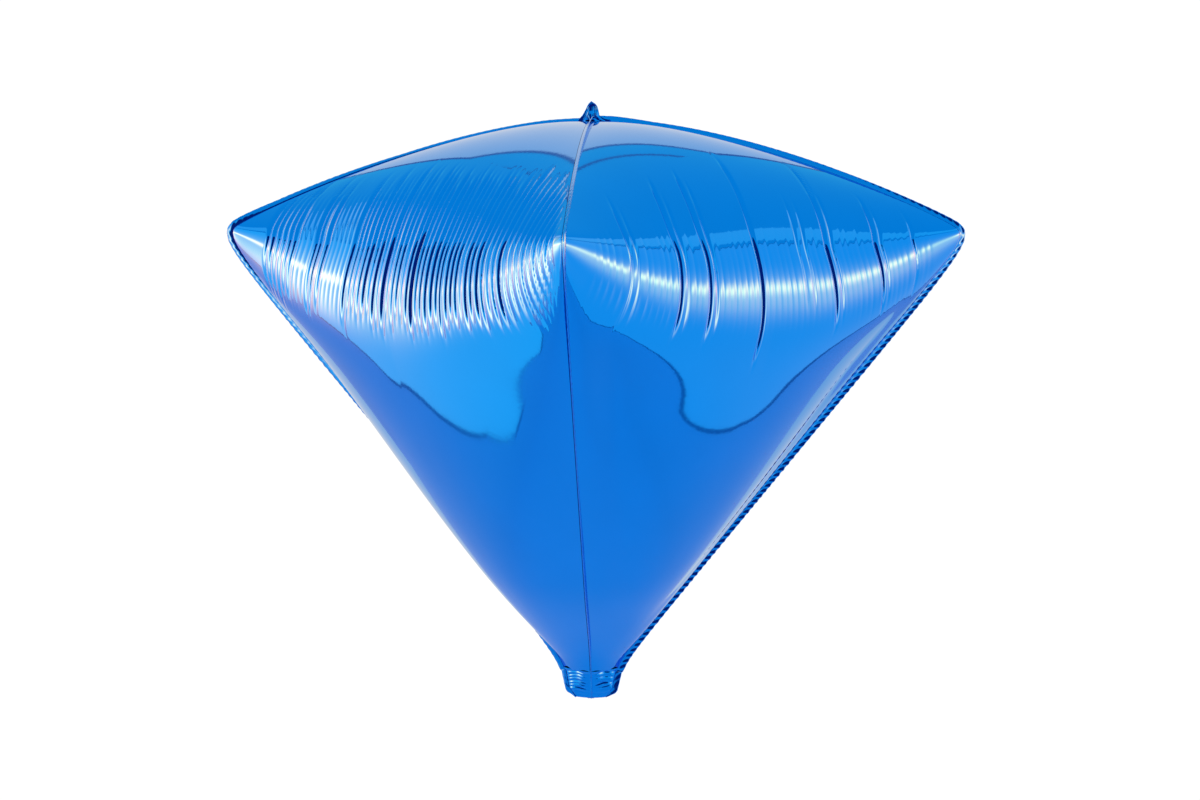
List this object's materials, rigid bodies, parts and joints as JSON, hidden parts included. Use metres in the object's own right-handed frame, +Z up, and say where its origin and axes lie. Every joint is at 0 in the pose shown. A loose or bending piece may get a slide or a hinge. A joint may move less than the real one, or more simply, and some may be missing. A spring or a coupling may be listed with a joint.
{
  "type": "diamond-shaped foil balloon",
  "caption": "Inflated metallic blue foil balloon in a cut-diamond shape: kite panels sealed edge to edge with flat seam flanges, a hanging tab on top and a gathered valve neck below.",
  "frame": {"origin": "centre of the neck's lower end, where a ribbon or weight is tied and the balloon is held in the air", "axes": "+Z up through the hanging tab; the four corners lie on +X, -X, +Y and -Y, the front corner on -Y"},
  "size_m": [0.5384, 0.5384, 0.447],
  "materials": {
    "panel_foil": "mirror-bright blue lacquered metallised foil",
    "seam_foil": "heat-sealed blue foil, slightly crinkled",
    "tab_foil": "heat-sealed blue foil, gathered",
    "neck_foil": "creased blue foil",
    "valve_film": "thin plastic film"
  },
  "bodies": {
    "root": {"panel_front_right": "panel_foil", "panel_back_right": "panel_foil", "panel_back_left": "panel_foil", "panel_front_left": "panel_foil", "seam_front": "seam_foil", "seam_right": "seam_foil", "seam_back": "seam_foil", "seam_left": "seam_foil", "hang_tab": "tab_foil", "neck": "neck_foil", "valve_lip": "valve_film"}
  },
  "joints": []
}
